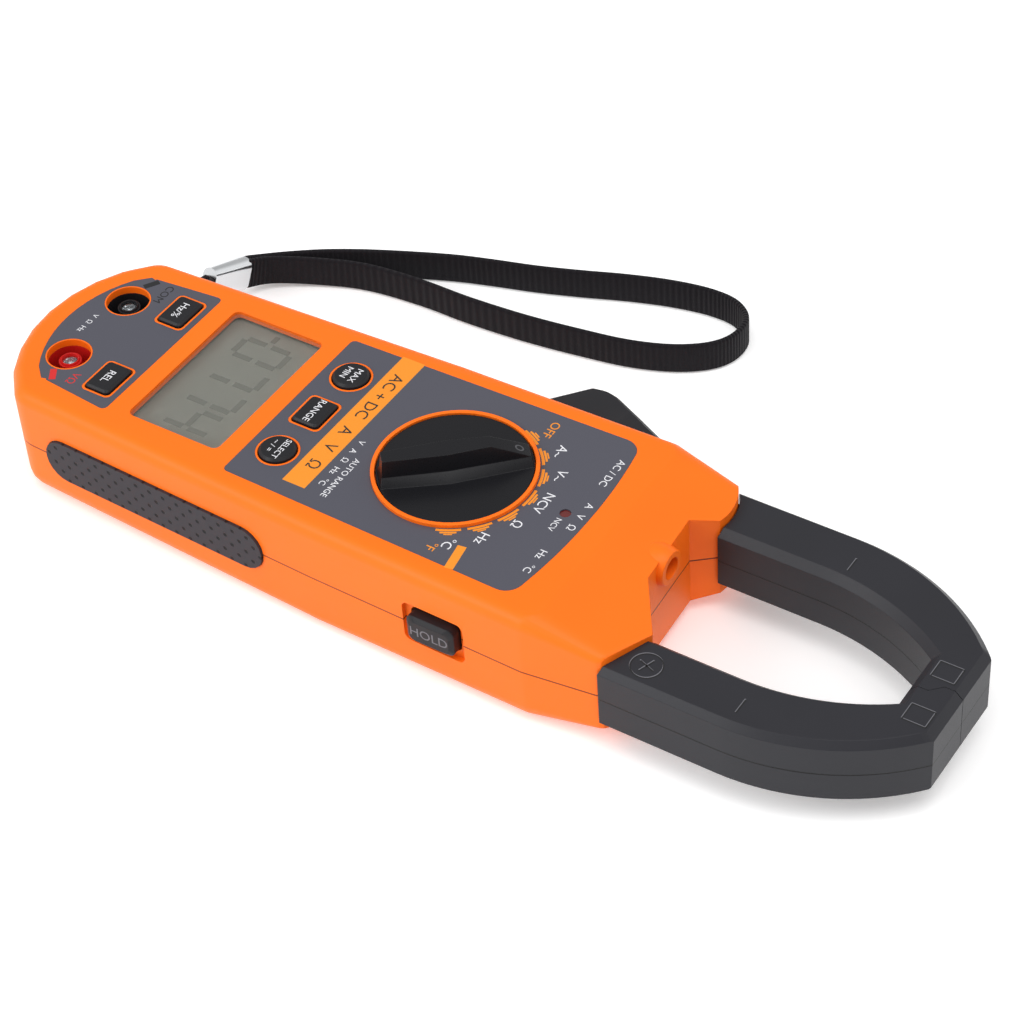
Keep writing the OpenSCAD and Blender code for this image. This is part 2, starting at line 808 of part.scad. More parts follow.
// The right jaw with nothing taken from its root: d draws it in for the space inside its walls
module jaw_form(d) {
    z0 = jaw_z0 + (d > 0 ? jaw_wall : 0);
    z1 = jaw_z1 - (d > 0 ? jaw_wall : 0);
    co = d > 0 ? 0 : jaw_chamfer;
    ct = d > 0 ? 0 : window_chamfer;
    ci = d > 0 ? 0 : -window_chamfer - 1;
    difference() {
        intersection() {
            union() {
                translate([outer_c[0], outer_c[1], 0]) edged_disc(outer_r - d, co, z0, z1);
                edged_bar(jaw_w / 2 - d, co, z0, z1, 50, outer_c[1]);
            }
            rotate(90) edged_bar(jaw_reach - d, ct, z0, z1, -60, 60);
        }
        intersection() {
            union() {
                translate([inner_c[0], inner_c[1], 0]) edged_disc(inner_r + d, ci, z0 - 1, z1 + 1);
                edged_bar(window_w / 2 + d, ci, z0 - 1, z1 + 1, 40, inner_c[1]);
            }
            rotate(90) edged_bar(window_end + d, ci, z0 - 1, z1 + 1, -60, 60);
        }
    }
}

// Where the two jaws meet: a step that lets the moving jaw swing away
function seam(g) = [[3 + g, 90], [3 + g, window_end + 4.9], [g, window_end + 7.9], [g, far]];

// The fixed jaw's share in plan, drawn in by d from the seam and the root
module fixed_share(d) {
    along = unit(root_in - root_out);
    out = [along[1], -along[0]] * (0.1 + d);
    polygon(concat([root_out - along * 20 + out, root_in + along * 14 + out], seam(seam_gap + d),
        [[far, far], [far, root_out[1]]]));
}

// The moving jaw's share in plan, drawn in by d from the seam and the root
module moving_share(d) {
    difference() {
        polygon(concat([[-far, pivot_y], [3 - seam_gap - d, pivot_y]], seam(-seam_gap - d), [[-far, far]]));
        translate(pivot) circle(root_r + d, $fn = 144);
    }
}

module fixed_shell() {
    difference() {
        intersection() {
            jaw_form(0);
            slab(0, body_t) fixed_share(0);
        }
        intersection() {
            jaw_form(jaw_wall);
            slab(0, body_t) fixed_share(jaw_wall);
        }
    }
    tongue(0);
}

module moving_shell() {
    difference() {
        intersection() {
            mirror([1, 0, 0]) jaw_form(0);
            slab(0, body_t) moving_share(0);
        }
        intersection() {
            mirror([1, 0, 0]) jaw_form(jaw_wall);
            slab(0, body_t) moving_share(jaw_wall);
        }
        slab(lever_z0 - seat, lever_z1 + seat)
            polygon([[-34.6, 60], [-22.9, 60], [-22.9, 74], [-34.6, 74]]);
    }
}

module front_half() {
    intersection() {
        children();
        translate([-far, -far, mid_z]) cube([2 * far, 2 * far, far]);
    }
}

module back_half() {
    intersection() {
        children();
        translate([-far, -far, mid_z - far]) cube([2 * far, 2 * far, far]);
    }
}

module fixed_jaw_front() {
    color(BLACK) front_half() fixed_shell();
}

module fixed_jaw_back() {
    color(BLACK) back_half() fixed_shell();
}

module moving_jaw_front() {
    color(BLACK) front_half() moving_shell();
}

module moving_jaw_back() {
    color(BLACK) back_half() moving_shell();
}

// The iron core that lies inside each jaw, from y0 to the seam
module core_slab(y0) {
    slab(jaw_z0 + jaw_wall + seat, jaw_z1 - jaw_wall - seat) translate([-far, y0]) square([2 * far, far]);
}

module fixed_core() {
    color(STEEL) intersection() {
        jaw_form(jaw_wall + seat);
        slab(0, body_t) fixed_share(jaw_wall + seat);
        core_slab(82);
    }
}

module moving_core() {
    color(STEEL) intersection() {
        mirror([1, 0, 0]) jaw_form(jaw_wall + seat);
        slab(0, body_t) moving_share(jaw_wall + seat);
        core_slab(82);
    }
}

module hall_sensor() {
    color("#2f6b45") translate([window_w / 2 + jaw_wall + 1.5, 78.5, mid_z - 5]) cube([9, 2, 10]);
}

// Lever

// The trigger's outline, outside and a little inside the case
function trigger_outline() =
    let (x = -trigger_reach)
    rounded([[-34, -6.4], [-38.5, -8.2], [x + 10.7, -1.4], [x + 1.2, 6.6], [x, 12.5], [x + 4.8, 23],
        [x + 10.3, 34.6], [-39.5, 51], [-34, 50]], [1, 3, 16, 3, 8, 30, 30, 6, 2], 4);

module jaw_lever() {
    bevel = 2.4;
    color(BLACK) difference() {
        union() {
            hull() {
                slab(lever_z0 + bevel, lever_z1 - bevel) polygon(trigger_outline());
                slab(lever_z0, lever_z1) offset(delta = -2) polygon(trigger_outline());
            }
            slab(lever_z0, lever_z1) {
                polygon([[-36, -6], [-32.5, 10], [-31, 36], [-22, 46], [-30, 58], [-36.5, 50], [-37.5, 20],
                    [-37.5, -5]]);
                polygon([[-36, 50], [-36, 62], [-34.5, 66], [-34.5, 81], [-23, 81], [-23, 66],
                    [-23.2, 60], [-20, 52]]);
                translate(pivot) circle(8);
            }
        }
        translate(pivot) cylinder(h = far, r = pin_r + pin_gap);
        translate([pivot[0] - coil_r - wire_r - 0.2, pivot[1] - 13.8, 0])
            cube([2 * wire_r + 0.4, 2 * wire_r + 0.4, lever_z0 + 3]);
        translate([9 - trigger_reach, 14, lever_z1 + 44.2]) sphere(r = 45, $fn = 96);
    }
}

module hinge_pin() {
    color(STEEL) translate([pivot[0], pivot[1], wall + 0.2]) cylinder(h = body_t - 3.2 - wall, r = pin_r);
}

// Close-wound torsion spring of square wire: three coils and two legs, one of them hooked into the lever
module jaw_spring() {
    coil = 1.2;
    color(STEEL) translate([pivot[0], pivot[1], spring_z + 0.3]) {
        difference() {
            tube(coil_r + wire_r, coil_r - wire_r, 0, 3 * coil);
            for (i = [1, 2]) tube(far, coil_r + wire_r - 0.25, i * coil - 0.08, i * coil + 0.08);
        }
        translate([coil_r - wire_r, -15, 0]) cube([2 * wire_r, 15, coil]);
        translate([-coil_r - wire_r, -13.6, 2 * coil]) cube([2 * wire_r, 13.6, coil]);
        translate([-coil_r - wire_r, -13.6, 2 * coil]) cube([2 * wire_r, 2 * wire_r, 4.6]);
    }
}

// Inside

module buzzer() {
    color(BLACK) translate([18, 22, board_z - 4]) cylinder(h = 4, r = 6);
}

module battery() {
    color("#3c4a6b") translate([0, battery_y, battery_z + battery_t / 2]) rotate([90, 0, 0]) {
        slab(2 - battery_l / 2, battery_l / 2) polygon(box_outline(battery_w, battery_t, 2));
        for (s = [-1, 1]) translate([s * 6.35, 0, -battery_l / 2 + 0.4]) cylinder(h = 2, r = 3.2);
    }
}

module battery_snap() {
    color(BLACK) translate([0, battery_y + battery_l / 2 + 0.6, battery_z + battery_t / 2])
        cube([24, 1.8, 12], center = true);
}

// Strap

// A round cord through the points of a route
module cord(route, r) {
    for (i = [0 : len(route) - 2]) hull() {
        translate(route[i]) sphere(r = r, $fn = 8);
        translate(route[i + 1]) sphere(r = r, $fn = 8);
    }
}

// Both sides of a flat band that follows a route in plan
function side_of(route, d) =
    [for (i = [0 : len(route) - 1]) let (a = route[max(i - 1, 0)], b = route[min(i + 1, len(route) - 1)],
        t = unit(b - a)) route[i] + d * [-t[1], t[0]]];
function reversed(v) = [for (i = [len(v) - 1 : -1 : 0]) v[i]];

module loop_cord() {
    color(BLACK) cord(LOOP, loop_d / 2);
}

module ferrule_end(p, w, h) {
    v = ferrule_to - ferrule_from;
    translate(p) rotate([0, acos(v[2] / norm(v)), atan2(v[1], v[0])])
        linear_extrude(0.01) polygon(box_outline(h, w, w / 2.2));
}

module strap_ferrule() {
    v = ferrule_to - ferrule_from;
    color(STEEL) difference() {
        hull() {
            ferrule_end(ferrule_from, 5, 7);
            ferrule_end(ferrule_to, 6.4, 10.6);
        }
        for (side = [-1, 1]) translate(in_bore(side, -1)) rotate([0, acos(v[2] / norm(v)), atan2(v[1], v[0])])
            cylinder(r = loop_d / 2 + seat, h = loop_in + 2);
    }
}

module wrist_strap() {
    color(BLACK) slab(0, strap_w) polygon(concat(side_of(STRAP, strap_t / 2),
        reversed(side_of(STRAP, -strap_t / 2))));
}

front_case();
rear_case();
battery_door();
door_screw();
case_screws();
main_overlay();
lower_overlay();
lcd_window();
lcd_glass();
lcd_backlight();
main_board();
left_grip();
right_grip();
com_jack();
input_jack();
com_contact();
input_contact();
ncv_led();
torch_led();
switch_wipers();
switch_rotor();
dial_knob();
select_key();
range_key();
max_min_key();
relative_key();
hertz_key();
hold_key();
tact_switches();
hold_switch();
fixed_jaw_front();
fixed_jaw_back();
fixed_core();
hall_sensor();
moving_jaw_front();
moving_jaw_back();
moving_core();
jaw_lever();
hinge_pin();
jaw_spring();
buzzer();
battery();
battery_snap();
loop_cord();
strap_ferrule();
wrist_strap();
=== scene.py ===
# A hand-held clamp meter on its back, jaws closed, with its wrist strap beside it.
import math

import bmesh
import bpy
from mathutils import Matrix, Vector


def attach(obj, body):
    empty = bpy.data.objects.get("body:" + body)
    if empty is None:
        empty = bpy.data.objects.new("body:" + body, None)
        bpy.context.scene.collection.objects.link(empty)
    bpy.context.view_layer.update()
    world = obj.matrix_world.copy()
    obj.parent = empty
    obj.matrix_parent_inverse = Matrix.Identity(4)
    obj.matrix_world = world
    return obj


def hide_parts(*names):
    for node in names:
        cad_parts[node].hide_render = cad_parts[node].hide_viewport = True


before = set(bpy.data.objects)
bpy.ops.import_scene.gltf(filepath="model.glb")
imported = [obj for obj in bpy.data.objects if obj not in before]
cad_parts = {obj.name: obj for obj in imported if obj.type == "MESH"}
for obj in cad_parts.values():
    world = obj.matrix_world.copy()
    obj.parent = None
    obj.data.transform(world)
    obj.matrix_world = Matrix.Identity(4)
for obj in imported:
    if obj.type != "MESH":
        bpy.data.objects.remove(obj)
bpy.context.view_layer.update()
MM = 0.001

# Camera.
# It stands off the jaws, to the meter's right, and looks back down the face at a point beside
# the dial, with its head tilted by a few degrees.
CAMERA_STAND = Vector((456.89, 345.15, 557.58)) * MM
CAMERA_AIM = Vector((-9.37, 10.47, 18.25)) * MM
CAMERA_TILT = math.radians(-4.273)
camera = bpy.data.objects.new("camera", bpy.data.cameras.new("camera"))
bpy.context.collection.objects.link(camera)
camera.data.lens = 103.93
camera.data.sensor_width = 36
camera.data.clip_end = 20
turn = (CAMERA_AIM - CAMERA_STAND).to_track_quat("-Z", "Y").to_matrix().to_4x4()
camera.matrix_world = (Matrix.Translation(CAMERA_STAND) @ turn
                       @ Matrix.Rotation(CAMERA_TILT, 4, "Z"))
bpy.context.scene.camera = camera

# Wrist strap.
# Flat black polyester webbing, woven with fine cross ribs, folded into a loop that stands on
# its edge; both ends rise into a pressed ferrule.


def route_through(points, steps):
    """A smooth line through the points, with that many steps between each pair."""
    pts = [Vector(p) * MM for p in points]
    line = []
    for i in range(len(pts) - 1):
        a, b, c, d = pts[max(i - 1, 0)], pts[i], pts[i + 1], pts[min(i + 2, len(pts) - 1)]
        for k in range(steps):
            t = k / steps
            line.append(0.5 * (2 * b + (c - a) * t + (2 * a - 5 * b + 4 * c - d) * t * t
                               + (3 * b - a - 3 * c + d) * t * t * t))
    return line + [pts[-1]]


def length_of(line):
    """The length of a line of points, in metres."""
    return sum((b - a).length for a, b in zip(line, line[1:]))


def drawn_along(name, line, width, height, corner):
    """A bar of that cross section, rounded at the corners, drawn along the line."""
    section = bpy.data.curves.new(name + "_section", "CURVE")
    section.dimensions = "2D"
    edge = section.splines.new("POLY")
    ring = []
    for quarter in range(4):
        sx, sy = ((1, 1), (-1, 1), (-1, -1), (1, -1))[quarter]
        for k in range(5):
            a = math.radians(90 * quarter + 22.5 * k)
            ring.append((sx * (width / 2 - corner) + corner * math.cos(a),
                         sy * (height / 2 - corner) + corner * math.sin(a)))
    edge.points.add(len(ring) - 1)
    for point, (x, y) in zip(edge.points, ring):
        point.co = (x, y, 0, 1)
    edge.use_cyclic_u = True
    profile = bpy.data.objects.new(name + "_section", section)
    curve = bpy.data.curves.new(name, "CURVE")
    curve.dimensions = "3D"
    curve.twist_mode = "Z_UP"
    curve.bevel_mode = "OBJECT"
    curve.bevel_object = profile
    curve.use_fill_caps = True
    spline = curve.splines.new("POLY")
    spline.points.add(len(line) - 1)
    for point, place in zip(spline.points, line):
        point.co = (*place, 1)
    holder = bpy.data.objects.new(name + "_line", curve)
    bpy.context.collection.objects.link(profile)
    bpy.context.collection.objects.link(holder)
    bpy.context.view_layer.update()
    depsgraph = bpy.context.evaluated_depsgraph_get()
    mesh = bpy.data.meshes.new_from_object(holder.evaluated_get(depsgraph))
    mesh.name = name
    for extra in (holder, profile):
        bpy.data.objects.remove(extra)
    piece = bpy.data.objects.new(name, mesh)
    bpy.context.collection.objects.link(piece)
    mesh.shade_smooth()
    return piece


def linear(hex_colour):
    """An sRGB hex colour as the linear values that a shader takes."""
    parts = [int(hex_colour[i:i + 2], 16) / 255 for i in (1, 3, 5)]
    return [p / 12.92 if p <= 0.04045 else ((p + 0.055) / 1.055) ** 2.4 for p in parts] + [1]


def add(tree, kind, sockets=(), **settings):
    """Adds a node, with its settings, and with a value or a link for each socket."""
    node = tree.nodes.new("ShaderNode" + kind)
    for name, value in settings.items():
        setattr(node, name, value)
    for name, value in dict(sockets).items():
        if isinstance(value, bpy.types.NodeSocket):
            tree.links.new(value, node.inputs[name])
        else:
            node.inputs[name].default_value = value
    return node


def new_material(name):
    """An empty material: its node tree and its output."""
    material = bpy.data.materials.new(name)
    material.use_nodes = True
    material.node_tree.nodes.clear()
    return material, material.node_tree, add(material.node_tree, "OutputMaterial")


def place(tree):
    """The point being shaded, in millimetres in the object's own frame."""
    spot = add(tree, "TexCoord").outputs["Object"]
    return add(tree, "VectorMath", {0: spot, "Scale": 1000}, operation="SCALE").outputs[0]


def woven_black(name, line, rib_mm):
    """Woven black yarn: matt, a dark and a paler thread mixed, with ribs across the piece.
    The ribs are drawn about twice as coarse as real ones, so that they show."""
    material, tree, out = new_material(name)
    uv = add(tree, "UVMap").outputs["UV"]
    ribs_along = length_of(line) / (rib_mm * MM)
    along = add(tree, "Mapping", {"Vector": uv, "Scale": (ribs_along * math.tau / 20, 1, 1)})
    ribs = add(tree, "TexWave", {"Vector": along.outputs[0], "Scale": 1, "Distortion": 0.6,
                                 "Detail": 2}, bands_direction="X")
    cloth = add(tree, "TexNoise", {"Vector": place(tree), "Scale": 2.2, "Detail": 4,
                                   "Roughness": 0.7})
    tone = add(tree, "Mix", {"Factor": cloth.outputs["Fac"], "A": linear("#070608"),
                             "B": linear("#211e23")}, data_type="RGBA")
    weft = add(tree, "Bump", {"Height": ribs.outputs["Fac"], "Strength": 0.7, "Distance": 0.0004})
    fuzz = add(tree, "Bump", {"Height": cloth.outputs["Fac"], "Strength": 0.5, "Distance": 0.0003,
                              "Normal": weft.outputs[0]})
    skin = add(tree, "BsdfPrincipled", {"Base Color": tone.outputs["Result"], "Roughness": 0.85,
                                        "Specular IOR Level": 0.15, "Sheen Weight": 0.05,
                                        "Sheen Roughness": 0.5, "Normal": fuzz.outputs[0]})
    tree.links.new(skin.outputs[0], out.inputs[0])
    return material


STRAP = [(-66, -123.6), (-71, -121.8), (-78, -115.6), (-84.6, -107), (-90, -97.4), (-95.4, -86),
         (-101.7, -71), (-105.6, -59), (-109.4, -46), (-114, -33), (-119, -20), (-123, -7),
         (-125, 5), (-124, 14), (-119, 20), (-111, 20.6), (-104, 16.6), (-98, 8), (-93.6, -4),
         (-91, -18), (-88.6, -36), (-87.4, -55), (-87.4, -73), (-85.6, -91), (-80.6, -104.6),
         (-73, -117), (-66, -121.4)]
WEB_WIDTH = 9.8
WEB_THICKNESS = 1.8
WEB_MIDDLE = 5.1
RISE = {0: 3.2, 1: 1.6, 2: 0.4, 24: 0.4, 25: 1.6, 26: 3.2}
strap_line = route_through([(x, y, WEB_MIDDLE + RISE.get(i, 0))
                            for i, (x, y) in enumerate(STRAP)], 6)
webbing = drawn_along("wrist_strap_webbing", strap_line, WEB_THICKNESS * MM, WEB_WIDTH * MM,
                      0.7 * MM)
webbing.data.materials.append(woven_black("woven_polyester_webbing", strap_line, 1.776))
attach(webbing, "case")
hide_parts("wrist_strap")

# Thin loop.
# A braided nylon cord that runs through the eyelet in the jack end's left corner; its two ends
# are crimped in the ferrule.
LOOP = [(-55, -123.7, 14.2), (-51, -123.8, 16.4), (-45, -123.8, 18), (-39.6, -125, 18.4),
        (-34.4, -124.4, 18.3), (-30.6, -122.6, 18.25), (-28.4, -119.4, 18.25),
        (-29.8, -115.6, 18.25), (-33.3, -115.15, 18.25), (-37.6, -115.9, 18.4),
        (-42.4, -118.4, 18.2), (-51, -121.4, 16.4), (-55, -121.3, 14.2)]
CORD_WIDTH = 1.8
loop_line = route_through(LOOP, 6)
loop = drawn_along("thin_loop_cord", loop_line, CORD_WIDTH * MM, CORD_WIDTH * MM, 0.89 * MM)
loop.data.materials.append(woven_black("braided_nylon_cord", loop_line, 1.381))
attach(loop, "case")
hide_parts("loop_cord")


def drawn_metal(name, colour, roughness):
    """Drawn or turned metal: bright, its gloss and its surface faintly uneven over 0.6 mm."""
    material, tree, out = new_material(name)
    unevenness = add(tree, "TexNoise", {"Vector": place(tree), "Scale": 1.6, "Detail": 3})
    wear = add(tree, "MapRange", {"Value": unevenness.outputs["Fac"], "To Min": roughness * 0.7,
                                  "To Max": roughness * 1.4})
    grain = add(tree, "Bump", {"Height": unevenness.outputs["Fac"], "Strength": 0.05,
                               "Distance": 0.0002})
    skin = add(tree, "BsdfPrincipled", {"Base Color": linear(colour), "Metallic": 1,
                                        "Roughness": wear.outputs[0], "Normal": grain.outputs[0]})
    tree.links.new(skin.outputs[0], out.inputs[0])
    return material


def moulded(node, body, material, angle=35):
    """The CAD piece with its facets merged, so that its rounded edges catch the light as one."""
    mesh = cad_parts[node].data.copy()
    shape = bmesh.new()
    shape.from_mesh(mesh)
    bmesh.ops.remove_doubles(shape, verts=shape.verts, dist=2e-6)
    bmesh.ops.dissolve_limit(shape, angle_limit=math.radians(0.2), verts=shape.verts,
                             edges=shape.edges)
    for edge in shape.edges:
        edge.smooth = len(edge.link_faces) == 2 and edge.calc_face_angle(0) < math.radians(angle)
    for face in shape.faces:
        face.smooth = True
        face.material_index = 0
    shape.to_mesh(mesh)
    shape.free()
    mesh.materials.clear()
    mesh.materials.append(material)
    piece = bpy.data.objects.new(node + "_skin", mesh)
    bpy.context.collection.objects.link(piece)
    weigh = piece.modifiers.new("flat_faces_stay_flat", "WEIGHTED_NORMAL")
    weigh.keep_sharp = True
    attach(piece, body)
    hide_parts(node)
    return piece


nickel = drawn_metal("nickel_plated_brass", "#d7d9db", 0.16)
ferrule = moulded("strap_ferrule", "case", nickel, 60)

# Case halves and battery door.
# Injection-moulded ABS with a fine spark-eroded texture; the two halves meet in a thin groove
# half way up the sides.


PARTING = 18.25


def moulded_plastic(name, colour, deep, groove, grain_mm, roughness):
    """Injection-moulded plastic: satin, with a spark-eroded grain that softens its gloss, a tone
    slightly uneven over 33 mm, and, where halves meet, a dark groove 0.4 mm wide."""
    material, tree, out = new_material(name)
    spot = place(tree)
    grain = add(tree, "TexNoise", {"Vector": spot, "Scale": 1 / grain_mm, "Detail": 3,
                                   "Roughness": 0.6})
    cloud = add(tree, "TexNoise", {"Vector": spot, "Scale": 0.03, "Detail": 2})
    tone = add(tree, "Mix", {"Factor": cloud.outputs["Fac"], "A": linear(colour),
                             "B": linear(deep)}, data_type="RGBA")
    height = add(tree, "SeparateXYZ", {"Vector": spot}).outputs["Z"]
    away = add(tree, "Math", {0: height, 1: PARTING}, operation="SUBTRACT")
    away = add(tree, "Math", {0: away.outputs[0]}, operation="ABSOLUTE")
    line = add(tree, "MapRange", {"Value": away.outputs[0], "From Min": 0.14, "From Max": 0.3,
                                  "To Min": 0 if groove else 1, "To Max": 1})
    in_groove = [c * 0.14 for c in linear(deep)[:3]] + [1]
    shade = add(tree, "Mix", {"Factor": line.outputs[0], "A": in_groove,
                              "B": tone.outputs["Result"]}, data_type="RGBA")
    polish = add(tree, "MapRange", {"Value": grain.outputs["Fac"], "To Min": roughness - 0.06,
                                    "To Max": roughness + 0.08})
    edge = add(tree, "Bevel", {"Radius": 0.0003}, samples=4)
    skin_grain = add(tree, "Bump", {"Height": grain.outputs["Fac"], "Strength": 0.12,
                                    "Distance": 0.0001, "Normal": edge.outputs[0]})
    skin = add(tree, "BsdfPrincipled", {"Base Color": shade.outputs["Result"],
                                        "Roughness": polish.outputs[0], "IOR": 1.53,
                                        "Specular IOR Level": 0.2,
                                        "Normal": skin_grain.outputs[0]})
    tree.links.new(skin.outputs[0], out.inputs[0])
    return material


orange_abs = moulded_plastic("moulded_orange_abs", "#ff7414", "#fb6d10", True, 0.35, 0.42)
door_abs = moulded_plastic("moulded_orange_abs_door", "#ff7414", "#fb6d10", False, 0.35, 0.42)
moulded("front_case", "case", orange_abs)
moulded("rear_case", "case", orange_abs)
moulded("battery_door", "case", door_abs)

# Screws, hinge pin and jaw spring.
# Zinc-plated steel; the cross-headed screws are sunk into the back.
zinc = drawn_metal("zinc_plated_steel", "#aeb2b6", 0.3)


def finished(node, material):
    """Gives a CAD piece its finish as it is."""
    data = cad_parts[node].data
    data.materials.clear()
    data.materials.append(material)
    for face in data.polygons:
        face.material_index = 0


for node in ("case_screws", "door_screw", "hinge_pin", "jaw_spring"):
    finished(node, zinc)

# Overlays.
# Matt polycarbonate film, grey, printed from behind and laid into shallow recesses in the face.


def printed_film():
    """Matt grey film: a fine even grain, 0.25 mm, and a soft sheen."""
    material, tree, out = new_material("matt_polycarbonate_film")
    spot = place(tree)
    grain = add(tree, "TexNoise", {"Vector": spot, "Scale": 4, "Detail": 2})
    tone = add(tree, "Mix", {"Factor": grain.outputs["Fac"], "A": linear("#46464f"),
                             "B": linear("#4d4d58")}, data_type="RGBA")
    bump = add(tree, "Bump", {"Height": grain.outputs["Fac"], "Strength": 0.06,
                              "Distance": 0.0001})
    skin = add(tree, "BsdfPrincipled", {"Base Color": tone.outputs["Result"], "Roughness": 0.48,
                                        "IOR": 1.58, "Specular IOR Level": 0.4,
                                        "Normal": bump.outputs[0]})
    tree.links.new(skin.outputs[0], out.inputs[0])
    return material


film = printed_film()
finished("main_overlay", film)
finished("lower_overlay", film)

# Printing on the film.
# Screen-printed ink: white unit symbols, yellow-orange marks for the switch positions and one
# yellow-orange band.
FACE = 36.5


def matt_colour(name, colour):
    """Screen ink, or another matt and opaque stuff: one flat colour, uneven over 0.2 mm as ink
    is that came through a mesh."""
    material, tree, out = new_material(name)
    mesh_mark = add(tree, "TexNoise", {"Vector": place(tree), "Scale": 5, "Detail": 1})
    tone = add(tree, "Mix", {"Factor": mesh_mark.outputs["Fac"], "A": linear(colour),
                             "B": [c * 0.86 for c in linear(colour)[:3]] + [1]}, data_type="RGBA")
    skin = add(tree, "BsdfPrincipled", {"Base Color": tone.outputs["Result"], "Roughness": 0.55})
    tree.links.new(skin.outputs[0], out.inputs[0])
    return material


white_ink = matt_colour("white_screen_ink", "#e6e6ea")
yellow_ink = matt_colour("yellow_orange_screen_ink", "#f0901a")
dark_ink = matt_colour("dark_screen_ink", "#2a2622")
# Near-black lines laid where fine grooves lie: painted shade inside the grooves.
groove_shade_ink = matt_colour("painted_groove_shade", "#040405")
pale_ink = matt_colour("worn_screen_ink", "#6a6a70")


def print_piece(name, shape, ink, body="case"):
    """Ends a printed mark: its mesh gets its ink, and it rides on its body."""
    mesh = bpy.data.meshes.new(name)
    shape.to_mesh(mesh)
    shape.free()
    mesh.materials.append(ink)
    mark = bpy.data.objects.new(name, mesh)
    bpy.context.collection.objects.link(mark)
    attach(mark, body)
    return mark


def lettering(words, cap, ink, name, body="case", turn=None, raised=0.02):
    """Printed letters: each word is (text, x, y), flat at the face, or where turn puts them."""
    together = bmesh.new()
    for text, x, y in words:
        curve = bpy.data.curves.new(name, "FONT")
        curve.body = text
        curve.size = cap * MM / 0.7
        curve.align_x, curve.align_y = "CENTER", "CENTER"
        curve.extrude = raised * MM / 2
        curve.resolution_u = 3
        holder = bpy.data.objects.new(name, curve)
        bpy.context.collection.objects.link(holder)
        bpy.context.view_layer.update()
        mesh = bpy.data.meshes.new_from_object(
            holder.evaluated_get(bpy.context.evaluated_depsgraph_get()))
        bpy.data.objects.remove(holder)
        mesh.transform(turn if turn else Matrix.Translation(
            (x * MM, y * MM, (FACE + raised / 2) * MM)))
        together.from_mesh(mesh)
        bpy.data.meshes.remove(mesh)
    for face in together.faces:
        face.material_index = 0
    return print_piece(name, together, ink, body)


def bars(name, spots, ink, top=FACE + 0.02):
    """Printed bars: each spot is (x, y, width, height, angle)."""
    together = bmesh.new()
    for x, y, w, h, angle in spots:
        made = bmesh.ops.create_cube(together, size=1)
        bmesh.ops.scale(together, verts=made["verts"], vec=(w * MM, h * MM, 0.02 * MM))
        bmesh.ops.rotate(together, verts=made["verts"], cent=(0, 0, 0),
                         matrix=Matrix.Rotation(math.radians(angle), 3, "Z"))
        bmesh.ops.translate(together, verts=made["verts"],
                            vec=(x * MM, y * MM, (top - 0.01) * MM))
    return print_piece(name, together, ink)


def flat_band(shape, centre, radii, start, sweep, steps):
    """A flat band between two radii, swept round its centre from the start angle."""
    x, y, z = (c * MM for c in centre)
    across = Vector((math.cos(start), math.sin(start), 0)) * MM
    ends = [shape.verts.new(Vector((x, y, z)) + across * r) for r in radii]
    edge = shape.edges.new(ends)
    bmesh.ops.spin(shape, geom=ends + [edge], cent=(x, y, 0), axis=(0, 0, 1), angle=sweep,
                   steps=steps, use_merge=sweep == math.tau)
    shape.normal_update()
    bmesh.ops.reverse_faces(shape, faces=[f for f in shape.faces if f.normal.z < 0])


def arcs(name, spots, ink):
    """Printed arcs about the dial: each spot is (inner radius, outer radius, middle, half span)."""
    shape = bmesh.new()
    for inner, outer, middle, half in spots:
        flat_band(shape, (0, 0, FACE + 0.02), (inner, outer), math.radians(middle - half),
                  math.radians(2 * half), 8)
    return print_piece(name, shape, ink)


TURNS = [152, 131.5, 111, 90.5, 70, 49.5, 29]
arcs("switch_position_marks", [(22.75, 23.55, a, 8.2) for a in TURNS]
     + [(23.75, 24.35, a, 5.2) for a in TURNS] + [(24.5, 24.9, a, 2.6) for a in TURNS],
     yellow_ink)
lettering([("A~", -19.2, 20.3), ("V~", -11.2, 25.1), ("NCV", -0.5, 27), ("Ω", 9.6, 25.1),
           ("Hz", 18.4, 20.2), ("°C", 24.2, 13.8)], 2.7, white_ink, "unit_symbols")
lettering([("OFF", -25.4, 13.7), ("°F", 27.2, 10.6)], 2.6, yellow_ink, "off_and_second_unit")
lettering([("NCV", 4.9, 33.7)], 1.7, white_ink, "lamp_symbol")
lettering([("AC / DC", -18.8, 36.6), ("A   V   Ω", -0.6, 38), ("Hz   °C", 18.8, 36.6)], 2.1,
          white_ink, "edge_symbols")
lettering([("AUTO RANGE", 17.6, -24.6), ("V   A   Ω   Hz   °C", 12.6, -27.6)], 1.8, white_ink,
          "function_symbols")
bars("title_band", [(-2.7, -34, 56.6, 7.2, 0)], yellow_ink)
lettering([("AC + DC   A   V   Ω", -2.7, -34)], 3.5, dark_ink, "title_band_symbols", raised=0.05)
bars("corner_flag", [(27.6, 18.3, 8.6, 2.5, 9)], yellow_ink)

# Display.
# A clear window over a grey liquid crystal cell whose digits stand slightly darker than the
# cell.


def clear_window():
    """Clear acrylic: polished, slightly grey, its gloss faintly smudged over 7 mm."""
    material, tree, out = new_material("clear_acrylic_window")
    smudge = add(tree, "TexNoise", {"Vector": place(tree), "Scale": 0.15, "Detail": 3})
    polish = add(tree, "MapRange", {"Value": smudge.outputs["Fac"], "To Min": 0.08,
                                    "To Max": 0.22})
    skin = add(tree, "BsdfPrincipled", {"Base Color": linear("#9a9b93"), "IOR": 1.49,
                                        "Alpha": 0.1, "Roughness": polish.outputs[0]})
    tree.links.new(skin.outputs[0], out.inputs[0])
    return material


